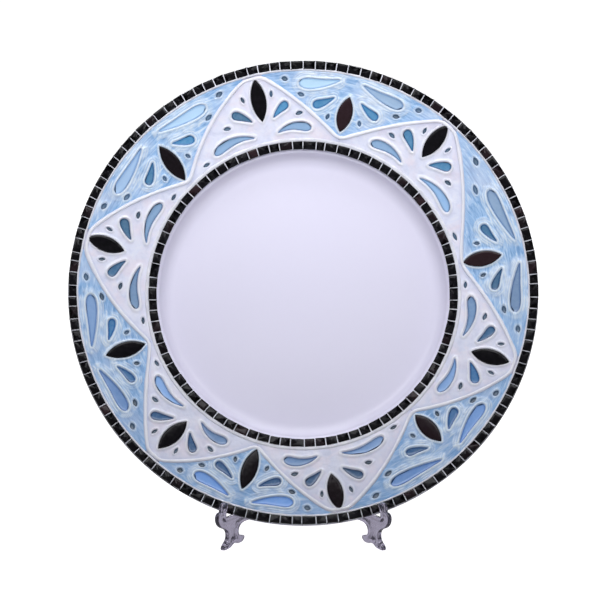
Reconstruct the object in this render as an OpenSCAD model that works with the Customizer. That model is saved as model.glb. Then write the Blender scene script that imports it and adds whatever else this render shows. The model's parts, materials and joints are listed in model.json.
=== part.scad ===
// Mosaic-rimmed china dinner plate, shown on a folding clear plastic easel.
// Millimetres, +Z up, the easel's feet stand on z = 0 and the face looks to -Y.
// The plate has a frame of its own: its back lies on z = 0, its face looks to +Z
// and +Y is the top of the plate. Angles on the rim run clockwise from the top.

/* [Plate] */
// Outer diameter of the plate
plate_d = 304.8; // [300:0.1:308]
// Inner radius of the rim, where the well begins
lip_r = 95.6; // [95:0.1:96]
// Height of the rim's upper surface at the lip, above the foot ring
lip_h = 16.2; // [15.8:0.1:17]
// Slope of the rim
rim_slope = 13; // [12:0.5:14]
// Thickness of the china
china_t = 4.8; // [4.5:0.1:5.5]
// Height of the flat floor of the well
floor_h = 8; // [7.6:0.1:8.4]
// Mean radius of the foot ring
foot_r = 72; // [71:0.5:73]

/* [Mosaic] */
// Number of tiles in the outer ring
outer_tile_n = 126; // [120:1:130]
// Number of tiles in the inner ring
inner_tile_n = 82; // [78:1:86]
// Radial width of the ring tiles
tile_w = 5.2; // [5:0.1:5.4]
// Thickness of the ring tiles
tile_t = 2.2; // [2:0.1:2.5]
// Joint between two ring tiles
tile_joint = 0.7; // [0.6:0.1:0.9]
// Thickness of the leaf tiles
leaf_t = 2.5; // [2.2:0.1:2.8]
// Width of the leaf tiles
leaf_w = 9.8; // [9:0.1:10.4]
// Thickness of the painted relief
field_t = 1.6; // [1.5:0.1:1.8]
// Height of the dividing ridges above the china
ridge_t = 2.5; // [2.2:0.1:2.8]
// Width of the dividing ridges
ridge_w = 2.4; // [2:0.1:2.6]

/* [Easel] */
// Thickness of each plastic leaf
leaf_slab = 3; // [2.8:0.1:3.2]
// Half of the angle between the open leaves
half_angle = 25; // [24:0.5:26]
// Lean of the plate from the vertical
lean = 19; // [18.5:0.5:19.5]
// Top of the hinge
hinge_top = 114; // [112:1:116]
// Diameter of the hinge pin
pin_d = 3; // [2.8:0.1:3.2]

/* [Hidden] */

plate_r = plate_d / 2;
china_v = china_t / cos(rim_slope);
rim_end_r = plate_r - 1.2;

// The twelve leaf tiles: [angle, radius of the middle, length, twist clockwise].
// A white field stands round each odd one, a blue field round each even one.
WHITE_LEAVES = [[40.9, 131.6, 26, -1], [109.5, 128.6, 25.2, -2], [171, 132.4, 24.4, -4],
                [222, 126.3, 25.6, 3], [283.6, 132.2, 24.8, 5], [347, 130, 27.4, 2]];
BLUE_LEAVES = [[13, 121, 23, 3], [79.3, 118.8, 25.2, 1], [137.8, 120.5, 24, -1],
               [196.7, 121, 28, 3], [251.8, 121.5, 26.4, 0], [314.9, 121, 27.2, 7]];
// How far the ridges before and after each white leaf bow outward, 0 for straight ones
RIDGE_BOWS = [[0.5, 0.45], [0.55, 0.8], [0.7, 0.7], [0.8, 0.4], [0.8, 0.7], [0.9, 0.6]];
white_a = [for (l = WHITE_LEAVES) l[0]];
blue_a = [for (l = BLUE_LEAVES) l[0]];

// Rings on the rim
outer_ring_r = plate_r - 0.2 - tile_w / 2;
inner_ring_r = lip_r + 0.2 + tile_w / 2;
field_out_r = outer_ring_r - tile_w / 2 - 1.8;
field_in_r = inner_ring_r + tile_w / 2 + 2.1;
bed_t = 0.4;
grout_t = 2;
pocket_h = 0.7;
drop_t = 0.6;
piece_gap = 0.05;
ridge_half = ridge_w / 2 / cos(36);
zig_lo = field_in_r + ridge_half;
zig_hi = field_out_r - ridge_half;
zig_steps = 8;
zig_aim_r = zig_hi + 4.3;

// The plate's place on the easel, hinge axis at x = y = 0
plate_y = -24;
plate_z = 150;
rest_gap = 0.2;
side_gap = 0.25;
barrel_r = 3.6;
leaf_back_u = 4.2;
bore_fixed = pin_d + 0.04;
bore_free = pin_d + 0.1;
knuckle_gap = 0.3;
web_inset = 0.6;
hinge_low = 8;
pin_head_t = 1.2;
seat_h = 20.6;
seat_front_u = 112;
bulge_u = 127;
rest_low_z = 24;
rest_high_z = 119;

// The part's origin is the middle of its footprint
front_y = -bulge_u * cos(half_angle) + side_gap * sin(half_angle);
shift_y = -(front_y + barrel_r) / 2;

$fn = 180;

// ---- helpers ---------------------------------------------------------------

// A repeatable unevenness between -1 and 1, for hand-cut pieces
function wobble(k) = let (v = sin(k * 78.233 + 12.9) * 437.585) 2 * (v - floor(v)) - 1;
function mix(a, b, t) = a + (b - a) * t;
function polar(r, a) = [r * sin(a), r * cos(a)];
function bez2(a, b, c, n = 6) =
    [for (i = [0:n - 1]) let (t = i / n) (1 - t) * (1 - t) * a + 2 * t * (1 - t) * b + t * t * c];
function bez3(a, b, c, d, n = 10) =
    [for (i = [0:n - 1]) let (t = i / n, s = 1 - t)
        s * s * s * a + 3 * s * s * t * b + 3 * s * t * t * c + t * t * t * d];
// Height of the china's upper surface on the rim
function rim_top(r) = lip_h + (r - lip_r) * tan(rim_slope);
// A point of the rim in the flat frame of a piece at radius rc, angle ac
function rim_xy(r, a, rc, ac) = [r * sin(a - ac), (r * cos(a - ac) - rc) / cos(rim_slope)];

// Puts a flat piece on the sloping rim, h above the china
module on_rim(r, a, h = 0)
    rotate([0, 0, -a]) translate([0, r, rim_top(r)]) rotate([rim_slope, 0, 0])
        translate([0, 0, h]) children();

// The plate's frame, leaning on the easel
module plate_pose() translate([0, plate_y + shift_y, plate_z]) rotate([90 - lean, 0, 0]) children();

// The easel's frame, with the hinge on its Z axis
module easel_pose() translate([0, shift_y, 0]) children();

// A layer that follows the rim between two radii and two heights
module rim_layer(r0, r1, h0, h1)
    rotate_extrude() polygon([
        [r0, rim_top(r0) + h0 / cos(rim_slope)], [r1, rim_top(r1) + h0 / cos(rim_slope)],
        [r1, rim_top(r1) + h1 / cos(rim_slope)], [r0, rim_top(r0) + h1 / cos(rim_slope)]]);

// ---- china -----------------------------------------------------------------

module plate_body() color("ghostwhite") plate_pose() rotate_extrude() polygon(concat(
    // underside, from the middle to the foot ring and out along the rim
    [[0, 3], [foot_r - 3.4, 3]],
    bez2([foot_r - 3.4, 3], [foot_r - 2, 2.8], [foot_r - 1.8, 1], 4),
    bez2([foot_r - 1.8, 1], [foot_r - 1.6, 0], [foot_r - 0.8, 0], 4),
    bez2([foot_r + 0.8, 0], [foot_r + 1.6, 0], [foot_r + 1.9, 1.2], 4),
    bez2([foot_r + 1.9, 1.2], [foot_r + 2.2, 4], [foot_r + 6, 4.6], 5),
    bez3([foot_r + 6, 4.6], [foot_r + 17, 6.2], [foot_r + 20, 10.4],
         [lip_r + 6, rim_top(lip_r + 6) - china_v], 10),
    // rounded edge of the rim
    bez2([plate_r - 3, rim_top(plate_r - 3) - china_v], [plate_r, rim_top(plate_r) - china_v],
         [plate_r, rim_top(plate_r) - 2.4], 6),
    bez2([plate_r, rim_top(plate_r) - 2.4], [plate_r, rim_top(plate_r) - 0.4],
         [rim_end_r, rim_top(rim_end_r)], 4),
    // face of the rim, the wall of the well and its floor
    [[rim_end_r, rim_top(rim_end_r)]],
    bez2([lip_r, lip_h], [lip_r - 1.2, lip_h - 0.3], [lip_r - 2, lip_h - 1.4], 4),
    bez3([lip_r - 2, lip_h - 1.4], [lip_r - 3.8, lip_h - 5.6], [lip_r - 5.6, floor_h],
         [lip_r - 11.4, floor_h], 10),
    [[lip_r - 11.4, floor_h], [0, floor_h]]));

// ---- ring tiles ------------------------------------------------------------

// One ring of hand-cut square tiles, t thick, lying h above the china
module ring_tiles(n, r_mid, seed, h, t) {
    pitch = 360 / n;
    for (i = [0:n - 1]) {
        a0 = pitch * (i + 0.13 * wobble(seed + i));
        a1 = pitch * (i + 1 + 0.13 * wobble(seed + (i + 1) % n));
        half = (a1 - a0) * PI / 180 * r_mid / 2 - tile_joint / 2;
        w = tile_w / 2 + 0.1 * wobble(seed + 3.7 * i);
        on_rim(r_mid + 0.09 * wobble(seed + 1.3 * i), (a0 + a1) / 2, h)
            rotate([0, 0, 1.6 * wobble(seed + 2.1 * i)])
                linear_extrude(t)
                    polygon([[-half + 0.12, -w], [half - 0.12, -w], [half, w], [-half, w]]);
    }
}

module outer_tiles() color([0.13, 0.13, 0.14]) plate_pose()
    ring_tiles(outer_tile_n, outer_ring_r, 1, bed_t, tile_t);

module inner_tiles() color([0.12, 0.12, 0.13]) plate_pose()
    ring_tiles(inner_tile_n, inner_ring_r, 401, bed_t, tile_t);

module outer_grout() color("white") plate_pose() difference() {
    rim_layer(field_out_r, rim_end_r - 0.2, 0, grout_t);
    ring_tiles(outer_tile_n, outer_ring_r, 1, bed_t, tile_t + 2);
}

module inner_grout() color("white") plate_pose() difference() {
    rim_layer(lip_r + 0.1, field_in_r, 0, grout_t);
    ring_tiles(inner_tile_n, inner_ring_r, 401, bed_t, tile_t + 2);
}

// ---- leaf tiles ------------------------------------------------------------

// The outline of a leaf: two arcs that meet in points
module leaf_shape(len, w) {
    arc_r = (len * len + w * w) / 4 / w;
    intersection_for (s = [-1, 1]) translate([s * (arc_r - w / 2), 0]) circle(arc_r);
}

module leaf_at(l, h, t, grow = 0)
    on_rim(l[1], l[0], h) rotate([0, 0, -l[3]]) linear_extrude(t)
        leaf_shape(l[2] / cos(rim_slope) + 4 * grow, leaf_w + 2 * grow);

// Odd numbers stand in white fields, even ones in blue, in clockwise order
module leaf_tile(i) color([0.1, 0.1, 0.11]) plate_pose()
    leaf_at(i % 2 == 1 ? WHITE_LEAVES[(i - 1) / 2] : BLUE_LEAVES[(i / 2) % 6], bed_t, leaf_t);

module leaf_pockets(h)
    for (l = concat(WHITE_LEAVES, BLUE_LEAVES)) leaf_at(l, h, 8, 0.1);

// ---- dividing ridges -------------------------------------------------------

// Angle at radius r of the ridge from blue corner b towards white tip w: between a straight line
// and an even spiral, both aimed at a point outside the field
function ridge_angle(r, b, w, bow) =
    let (d = abs(w - b),
         p = zig_lo * zig_aim_r * sin(d) / norm([zig_aim_r * sin(d), zig_aim_r * cos(d) - zig_lo]),
         line = acos(p / r) - acos(p / zig_lo),
         spiral = d * (r - zig_lo) / (zig_aim_r - zig_lo))
    b + sign(w - b) * mix(line, spiral, bow);
function next_blue(i) = i < 5 ? blue_a[i + 1] : blue_a[0] + 360;
function last_white(i) = i > 0 ? white_a[i - 1] : white_a[5] - 360;
// Angle of the ridge before (side 0) or after (side 1) white leaf i, t of the way outward
function zig_angle(i, side, t) =
    ridge_angle(mix(zig_lo, zig_hi, t), side == 0 ? blue_a[i] : next_blue(i), white_a[i],
                RIDGE_BOWS[i][side]);
// Point of the same ridge, moved outward by d
function zig_point(i, side, t, d) = polar(mix(zig_lo, zig_hi, t) + d, zig_angle(i, side, t));
function zigzag(d) = [for (i = [0:5]) for (side = [0, 1]) for (j = [0:zig_steps - side])
    zig_point(i, side, side == 0 ? j / zig_steps : 1 - j / zig_steps, d)];

module divider_ridges() color("white") plate_pose() difference() {
    intersection() {
        rim_layer(field_in_r, field_out_r, 0, ridge_t);
        linear_extrude(60) difference() {
            polygon(zigzag(ridge_half - piece_gap));
            polygon(zigzag(piece_gap - ridge_half));
        }
    }
    leaf_pockets(-1);
}

// ---- glass drops -----------------------------------------------------------

DROP_STEPS = [0.03, 0.12, 0.25, 0.4, 0.55, 0.7, 0.82, 0.91, 0.97, 1];

// Width of a drop along its length: a tear with a round end, or a crescent
function tear(t) = 1.3 * pow(t, 0.75) * sqrt(1.02 - pow(t, 6));
function crescent(t) = pow(max(sin(176 * t + 2), 0.05), 0.7);

// One side of a drop from tip (r0, a0) to end (r1, a1), bowed outward by bow
function drop_side(s, r0, a0, r1, a1, w, bow, kind) =
    [for (t = DROP_STEPS)
        let (r = mix(r0, r1, t) + bow * 4 * t * (1 - t), a = mix(a0, a1, t),
             dr = r1 - r0 + bow * 4 * (1 - 2 * t), da = (a1 - a0) * PI / 180 * r,
             h = s * w / 2 * (kind == "tear" ? tear(t) : crescent(t)) / norm([dr, da]))
        [r + h * da, a - h * dr / r * 180 / PI]];

module drop(r0, a0, r1, a1, w, bow, h, t, kind = "tear") {
    rc = (r0 + r1) / 2;
    ac = (a0 + a1) / 2;
    near = drop_side(1, r0, a0, r1, a1, w, bow, kind);
    far = drop_side(-1, r0, a0, r1, a1, w, bow, kind);
    rim = concat(near, [for (i = [len(far) - 1:-1:0]) far[i]]);
    on_rim(rc, ac, h) linear_extrude(t) polygon([for (p = rim) rim_xy(p[0], p[1], rc, ac)]);
}

// The drops of white field i: side -1 lies before its axis, side 1 after it
module white_drop_set(i, h, t) {
    a = white_a[i];
    for (s = [-1, 1]) {
        span = s < 0 ? a - blue_a[i] : next_blue(i) - a;
        k = 10 * i + s;
        reach = min(0.6 * span, 19.5);
        // teal tear beside the leaf's foot
        drop(117.4, a + s * 3.4, 126.4 + wobble(k), a + s * min(8.8, 0.32 * span),
             5.9 + 0.5 * wobble(k + 1), 0.6, h, t);
        // long pale drop along the inner ring
        drop(107.4, a + s * 4, 108.6 + 1.2 * wobble(k + 2), a + s * reach, 5.8, 2.5, h, t);
        // slivers by the point of the leaf and dots by the ridge
        drop(130.6, a + s * min(4.2, 0.145 * span), 134.8, a + s * min(4.6, 0.152 * span), 1.9, 0, h, t,
             "crescent");
        drop(118.2, a + s * 10.6, 119.4, a + s * 12.8, 2.4, 0.3, h, t, "crescent");
        if (span > 29.5)
            drop(105.6, a + s * 0.7 * span, 106, a + s * 0.78 * span, 2, 0, h, t, "crescent");
    }
}

// The drops of blue field i
module blue_drop_set(i, h, t) {
    a = blue_a[i];
    for (s = [-1, 1]) {
        span = s < 0 ? a - last_white(i) : white_a[i] - a;
        k = 200 + 10 * i + s;
        reach = min(0.54 * span, 18);
        // broad pale drop along the outer ring
        drop(142, a + s * 3, 138.4, a + s * reach, 6.8, -2, h, t);
        // teal tear beside the leaf
        drop(130.4, a + s * 3.9, 124.8 + 0.8 * wobble(k), a + s * 10,
             5.2 + 0.4 * wobble(k + 1), -1, h, t);
        // dots in the corners
        drop(140.6, a + s * 0.66 * span, 142, a + s * 0.72 * span, 3, 0, h, t, "crescent");
        drop(130.2, a + s * 0.49 * span, 131.6, a + s * 0.56 * span, 2.6, 0, h, t, "crescent");
        drop(119.4, a + s * 4.9, 116, a + s * 5.5, 2.2, 0, h, t, "crescent");
    }
}

module white_drops(i) color([0.45, 0.66, 0.78]) plate_pose()
    white_drop_set(i - 1, pocket_h, drop_t);

module blue_drops(i) color([0.38, 0.6, 0.78]) plate_pose()
    blue_drop_set(i - 1, pocket_h, drop_t);

// ---- painted fields --------------------------------------------------------

white_t0 = (field_in_r + piece_gap + 0.4 + ridge_half - zig_lo) / (zig_hi - zig_lo);
blue_t1 = (field_out_r - piece_gap - 0.4 - ridge_half - zig_lo) / (zig_hi - zig_lo);

// A three-cornered field stands on the inner ring and points outward
module white_outline(i) {
    foot0 = zig_angle(i, 0, white_t0);
    foot1 = zig_angle(i, 1, white_t0);
    polygon(concat(
        [for (j = [0:zig_steps]) zig_point(i, 0, mix(white_t0, 1, j / zig_steps), -ridge_half)],
        [for (j = [zig_steps:-1:0]) zig_point(i, 1, mix(white_t0, 1, j / zig_steps), -ridge_half)],
        [for (j = [0:12]) polar(field_in_r + piece_gap, mix(foot1, foot0, j / 12))]));
}

// A three-cornered field hangs from the outer ring and points inward
module blue_outline(i) {
    last = (i + 5) % 6;
    back = i == 0 ? 360 : 0;
    top0 = zig_angle(last, 1, blue_t1) - back;
    top1 = zig_angle(i, 0, blue_t1);
    polygon(concat(
        [for (j = [0:zig_steps]) zig_point(last, 1, mix(blue_t1, 0, j / zig_steps), ridge_half)],
        [for (j = [1:zig_steps]) zig_point(i, 0, mix(0, blue_t1, j / zig_steps), ridge_half)],
        [for (j = [0:12]) polar(field_out_r - piece_gap, mix(top1, top0, j / 12))]));
}

module white_field(i) color("lavenderblush") plate_pose() difference() {
    intersection() {
        rim_layer(field_in_r, field_out_r, 0, field_t);
        linear_extrude(60) white_outline(i - 1);
    }
    leaf_at(WHITE_LEAVES[i - 1], -1, 8, 0.1);
    white_drop_set(i - 1, pocket_h, 6);
}

module blue_field(i) color([0.72, 0.84, 0.94]) plate_pose() difference() {
    intersection() {
        rim_layer(field_in_r, field_out_r, 0, field_t);
        linear_extrude(60) blue_outline(i - 1);
    }
    leaf_at(BLUE_LEAVES[i - 1], -1, 8, 0.1);
    blue_drop_set(i - 1, pocket_h, 6);
}

// ---- easel -----------------------------------------------------------------

// Edge of a leaf that the foot ring leans on, at height z
function rest_u(z) =
    (-plate_y * cos(lean) - (z - plate_z) * sin(lean) - rest_gap) / (cos(lean) * cos(half_angle));

// Outline of a leaf, u out from the hinge and z up
LEAF_OUTLINE = concat(
    // rear foot and the arch
    [[6.5, 0]], bez2([15, 0], [19.5, 0], [20, 4.5], 5),
    bez3([20, 4.5], [22, 32], [56, 31], [70, 16], 12),
    bez2([70, 16], [75, 11.4], [84, 12.8], 5), bez2([84, 12.8], [97.4, 14], [97.4, 8.4], 7),
    // curl behind the front foot
    bez2([97.4, 8.4], [97.4, 4.8], [92, 4.8], 5), bez2([92, 4.8], [88.4, 4.8], [88.4, 3.2], 4),
    bez2([88.4, 3.2], [89.4, 0.2], [94.6, 0.2], 5), bez2([94.6, 0.2], [99, 0.6], [102, 1.8], 4),
    bez2([102, 1.8], [105.4, 2.2], [108, 0.6], 4),
    // toe
    bez2([108, 0.6], [109.6, 0], [112, 0], 3), [[112, 0]], bez2([117, 0], [120.2, 0], [118.8, 2.4], 5),
    bez2([118.8, 2.4], [117.4, 4], [114.4, 5], 4), bez2([114.4, 5], [110.2, 7.4], [112.4, 11], 6),
    // breast
    bez2([112.4, 11], [114, 13.4], [118.8, 14.8], 5),
    bez2([118.8, 14.8], [bulge_u, 17.4], [bulge_u, 23], 7),
    bez2([bulge_u, 23], [bulge_u, 26.8], [121, 26], 6),
    // lip in front of the plate
    bez2([121, 26], [122.6, 30.8], [117, 31.2], 7), bez2([117, 31.2], [113, 31.4], [112.4, 29.4], 5),
    bez2([112.4, 29.4], [114.4, 26.4], [115.6, 23.4], 4),
    bez2([115.6, 23.4], [116, seat_h], [seat_front_u, seat_h], 5),
    // seat and the leaning edge
    bez2([80, seat_h], [76.2, seat_h], [rest_u(rest_low_z), rest_low_z], 5),
    [[rest_u(rest_low_z), rest_low_z]],
    bez2([rest_u(rest_high_z), rest_high_z], [rest_u(rest_high_z + 8), rest_high_z + 8],
         [26, rest_high_z + 7], 6),
    bez2([26, rest_high_z + 7], [17, rest_high_z + 5], [15, rest_high_z - 3], 5),
    bez2([15, rest_high_z - 3], [13, hinge_top], [leaf_back_u, hinge_top], 5),
    [[leaf_back_u, hinge_top], [leaf_back_u, 3]]);

// Window in the leaf
LEAF_WINDOW = concat(
    bez2([13, 48], [13, 38], [24, 37], 5), bez2([24, 37], [40, 37], [50, 34], 5),
    bez2([50, 34], [56.4, 33], [rest_u(44) - 11, 44], 5),
    bez2([rest_u(96) - 11, 96], [rest_u(108) - 11, 108], [20, 106], 5),
    bez2([20, 106], [13, 105], [13, 98], 4));

// A slab in the plane of a leaf; side is 1 for the right leaf and -1 for the left
module leaf_slab_at(side)
    rotate([0, 0, side * half_angle]) translate([side * (side_gap + leaf_slab / 2), 0, 0])
        rotate([90, 0, -90]) translate([0, 0, -leaf_slab / 2]) linear_extrude(leaf_slab) children();

// Ends of the knuckles, from the bottom of the hinge to its top
knuckle_z = [for (i = [0:3]) mix(hinge_low, hinge_top, i / 3)];

module knuckle(side, i) {
    z0 = knuckle_z[i] + (i > 0 ? knuckle_gap / 2 : 0);
    z1 = knuckle_z[i + 1] - (i < 2 ? knuckle_gap / 2 : 0);
    translate([0, 0, z0]) cylinder(h = z1 - z0, r = barrel_r);
    leaf_slab_at(side) translate([1, z0 + web_inset]) square([leaf_back_u, z1 - z0 - 2 * web_inset]);
}

module leaf(side, knuckles, bore) difference() {
    union() {
        leaf_slab_at(side) difference() {
            polygon(LEAF_OUTLINE);
            polygon(LEAF_WINDOW);
            hull() for (u = [113, 115]) translate([u, 2.9]) circle(1.2, $fn = 32);
        }
        for (i = knuckles) knuckle(side, i);
    }
    translate([0, 0, -1]) cylinder(h = hinge_top + 20, d = bore);
}

module easel_leaf_left() color([0.8, 0.8, 0.86, 0.6]) easel_pose() leaf(-1, [0, 2], bore_fixed);
module easel_leaf_right() color([0.8, 0.8, 0.86, 0.6]) easel_pose() leaf(1, [1], bore_free);

module hinge_pin() color([0.85, 0.85, 0.9, 0.6]) easel_pose() {
    translate([0, 0, hinge_low - pin_head_t]) cylinder(h = pin_head_t, r = barrel_r - 0.8);
    translate([0, 0, hinge_low - pin_head_t])
        cylinder(h = hinge_top - hinge_low + 2 * pin_head_t, d = pin_d);
    translate([0, 0, hinge_top]) cylinder(h = pin_head_t, r = barrel_r - 0.8);
}

plate_body();
outer_grout();
inner_grout();
outer_tiles();
inner_tiles();
divider_ridges();
leaf_tile(1);  // leaf_tile_1
leaf_tile(2);  // leaf_tile_2
leaf_tile(3);  // leaf_tile_3
leaf_tile(4);  // leaf_tile_4
leaf_tile(5);  // leaf_tile_5
leaf_tile(6);  // leaf_tile_6
leaf_tile(7);  // leaf_tile_7
leaf_tile(8);  // leaf_tile_8
leaf_tile(9);  // leaf_tile_9
leaf_tile(10);  // leaf_tile_10
leaf_tile(11);  // leaf_tile_11
leaf_tile(12);  // leaf_tile_12
white_field(1);  // white_field_1
white_field(2);  // white_field_2
white_field(3);  // white_field_3
white_field(4);  // white_field_4
white_field(5);  // white_field_5
white_field(6);  // white_field_6
blue_field(1);  // blue_field_1
blue_field(2);  // blue_field_2
blue_field(3);  // blue_field_3
blue_field(4);  // blue_field_4
blue_field(5);  // blue_field_5
blue_field(6);  // blue_field_6
white_drops(1);  // white_drops_1
white_drops(2);  // white_drops_2
white_drops(3);  // white_drops_3
white_drops(4);  // white_drops_4
white_drops(5);  // white_drops_5
white_drops(6);  // white_drops_6
blue_drops(1);  // blue_drops_1
blue_drops(2);  // blue_drops_2
blue_drops(3);  // blue_drops_3
blue_drops(4);  // blue_drops_4
blue_drops(5);  // blue_drops_5
blue_drops(6);  // blue_drops_6
easel_leaf_left();
easel_leaf_right();
hinge_pin();
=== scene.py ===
"""Looks of a mosaic-rimmed china dinner plate on its folding clear plastic easel.

Shapes are worked out in millimetres. The plate's pieces live in the plate's own frame, read from
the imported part: its back on w = 0, its face towards +w and +y towards the top of the plate.
"""

import json
import math

import bmesh
import bpy
import numpy as np
from mathutils import Matrix, Vector, noise
from mathutils.geometry import delaunay_2d_cdt


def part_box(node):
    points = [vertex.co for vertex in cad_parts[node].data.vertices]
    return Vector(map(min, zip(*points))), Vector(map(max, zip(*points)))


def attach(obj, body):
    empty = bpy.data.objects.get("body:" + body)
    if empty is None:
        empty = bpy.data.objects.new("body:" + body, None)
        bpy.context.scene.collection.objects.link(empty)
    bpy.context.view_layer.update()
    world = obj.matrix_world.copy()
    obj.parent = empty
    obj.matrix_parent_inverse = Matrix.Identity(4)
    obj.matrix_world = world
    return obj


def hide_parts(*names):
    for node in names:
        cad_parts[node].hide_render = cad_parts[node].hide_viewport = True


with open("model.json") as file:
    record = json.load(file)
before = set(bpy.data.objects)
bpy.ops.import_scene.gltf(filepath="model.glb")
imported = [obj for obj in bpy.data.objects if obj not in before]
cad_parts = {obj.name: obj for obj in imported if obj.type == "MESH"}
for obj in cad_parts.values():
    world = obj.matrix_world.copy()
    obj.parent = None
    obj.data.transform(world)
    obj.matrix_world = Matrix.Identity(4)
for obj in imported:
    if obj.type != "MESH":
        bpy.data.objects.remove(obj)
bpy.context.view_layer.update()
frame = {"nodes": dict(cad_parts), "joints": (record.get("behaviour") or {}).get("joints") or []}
CAD = frame["nodes"]
MM = 0.001
TURN = 2 * math.pi


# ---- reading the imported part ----

MERGE = 0.002  # vertices nearer to each other than this are one


def cad_mesh(node):
    """Merged vertices, in millimetres, and triangles of a CAD node."""
    mesh = CAD[node].data
    mesh.calc_loop_triangles()
    co = np.empty(len(mesh.vertices) * 3)
    mesh.vertices.foreach_get("co", co)
    co = co.reshape(-1, 3) / MM
    tri = np.empty(len(mesh.loop_triangles) * 3, dtype=np.int32)
    mesh.loop_triangles.foreach_get("vertices", tri)
    key = np.round(co / MERGE).astype(np.int64)
    _, first, inverse = np.unique(key, axis=0, return_index=True, return_inverse=True)
    tri = inverse.reshape(-1)[tri].reshape(-1, 3)
    whole = (tri[:, 0] != tri[:, 1]) & (tri[:, 1] != tri[:, 2]) & (tri[:, 2] != tri[:, 0])
    return co[first], tri[whole]


def loose_parts(tri, count):
    """Triangles of each loose part of a mesh."""
    root = list(range(count))

    def find(i):
        while root[i] != i:
            root[i] = root[root[i]]
            i = root[i]
        return i

    for a, b, c in tri:
        root[find(a)] = find(b)
        root[find(b)] = find(c)
    groups = {}
    for t in tri:
        groups.setdefault(find(t[0]), []).append(t)
    return [np.array(g) for g in groups.values()]


def boundary_loops(tri):
    """Closed chains of the edges that only one triangle has."""
    edges = set()
    for a, b, c in tri:
        edges.update(((a, b), (b, c), (c, a)))
    following = {a: b for a, b in edges if (b, a) not in edges}
    loops = []
    while following:
        start = min(following)
        loop = [start]
        step = following.pop(start)
        while step != start:
            loop.append(step)
            step = following.pop(step)
        loops.append(loop)
    return loops


def normals_of(verts, tri):
    """Unit normal and area of each triangle."""
    cross = np.cross(verts[tri[:, 1]] - verts[tri[:, 0]], verts[tri[:, 2]] - verts[tri[:, 0]])
    length = np.linalg.norm(cross, axis=1)
    return cross / np.maximum(length, 1e-12)[:, None], length / 2


# ---- the plate's frame ----

body_verts, _ = cad_mesh("plate_body")
tile_verts, tile_tri = cad_mesh("outer_tiles")
tiles = loose_parts(tile_tri, len(tile_verts))
tile_mids = np.array([tile_verts[np.unique(p)].mean(0) for p in tiles])
_, _, axes = np.linalg.svd(tile_mids - tile_mids.mean(0))
FACE = np.array([0.0, axes[2][1], axes[2][2]])
FACE *= -np.sign(FACE[1]) / np.linalg.norm(FACE)
EX = np.array([1.0, 0.0, 0.0])
EY = np.cross(FACE, EX)
AXES = np.array([EX, EY, FACE])
flat = body_verts @ AXES.T
flat_lo, flat_hi = flat.min(0), flat.max(0)
ORIGIN = np.array([*(flat_lo[:2] + flat_hi[:2]) / 2, flat_lo[2]]) @ AXES
PLATE_MATRIX = Matrix.Translation(Vector(ORIGIN * MM)) @ Matrix(AXES.T.tolist()).to_4x4()
PLATE_R = (flat_hi[0] - flat_lo[0]) / 2


def to_plate(points):
    """World millimetres to the plate's frame."""
    return (points - ORIGIN) @ AXES.T


def part_list(node):
    """Vertices in the plate's frame and triangles of each loose part of a CAD node."""
    verts, tri = cad_mesh(node)
    local = to_plate(verts)
    return [(local, p) for p in loose_parts(tri, len(verts))]


def ring_mid(node):
    """Mean radius, mean height and half of the radial width of the parts of a ring of tiles."""
    parts = [v[np.unique(p)] for v, p in part_list(node)]
    radii = [np.hypot(v[:, 0], v[:, 1]) for v in parts]
    return (np.mean([r.mean() for r in radii]), np.mean([v[:, 2].mean() for v in parts]),
            np.mean([np.ptp(r) for r in radii]) / 2)


OUTER_R, outer_w, _ = ring_mid("outer_tiles")
INNER_R, inner_w, TILE_HALF = ring_mid("inner_tiles")
SLOPE = math.atan2(outer_w - inner_w, OUTER_R - INNER_R)
SIN, COS, TAN = math.sin(SLOPE), math.cos(SLOPE), math.tan(SLOPE)
TILE_MID_H = 1.5  # height of the middle of a ring tile above the china
RIM_W0 = inner_w - INNER_R * TAN - TILE_MID_H / COS
LIP_R = 95.6  # where the rim ends and the well begins
FACING_UP = 0.9  # least share of a face's normal that points up from the rim


def rim_w(r):
    """Height of the china's upper surface on the rim."""
    return RIM_W0 + r * TAN


def on_rim(x, y, h):
    """Points h above the sloping rim, at plan position x, y of the china."""
    x, y, h = np.broadcast_arrays(x, y, h)
    r = np.hypot(x, y)
    k = 1 - h * SIN / r
    return np.stack([x * k, y * k, rim_w(r) + h * COS], -1)


def off_rim(points):
    """Plan position on the china and height above it, for points near the rim."""
    r = np.hypot(points[:, 0], points[:, 1])
    h = (points[:, 2] - rim_w(r)) * COS
    k = (r + h * SIN) / r
    return points[:, 0] * k, points[:, 1] * k, h


def top_outline(verts, tri):
    """Plan outline and height of a part's upper face on the rim."""
    normal, _ = normals_of(verts, tri)
    mid = verts[np.unique(tri)].mean(0)
    r = math.hypot(mid[0], mid[1])
    up = np.array([-SIN * mid[0] / r, -SIN * mid[1] / r, COS])
    loop = max(boundary_loops(tri[normal @ up > FACING_UP]), key=len)
    x, y, h = off_rim(verts[loop])
    return np.stack([x, y], -1), float(h.mean())


# ---- numbers and grain ----


def smooth(a, b, x):
    """0 at a, 1 at b, with an easy start and end."""
    t = np.clip((x - a) / (b - a), 0, 1)
    return t * t * (3 - 2 * t)


def grain(x, y, size, seed):
    """Soft repeatable unevenness between -1 and 1, in patches about size wide."""
    pairs = zip((x / size).ravel().tolist(), (y / size).ravel().tolist())
    values = [noise.noise((a, b, seed)) for a, b in pairs]
    return np.array(values).reshape(x.shape)


def dice(k, seed):
    """A repeatable number between -1 and 1."""
    return noise.cell((k * 1.37 + 0.11, seed * 2.71 + 0.37, 0.5)) * 2 - 1


def bezier(points, n):
    """n points of a Bezier curve of degree two or three, without its end."""
    t = np.linspace(0, 1, n, endpoint=False)[:, None]
    points = np.repeat(np.array(points, float)[:, None, :], n, axis=1)
    while len(points) > 1:
        points = points[:-1] * (1 - t) + points[1:] * t
    return points[0].tolist()


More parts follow.
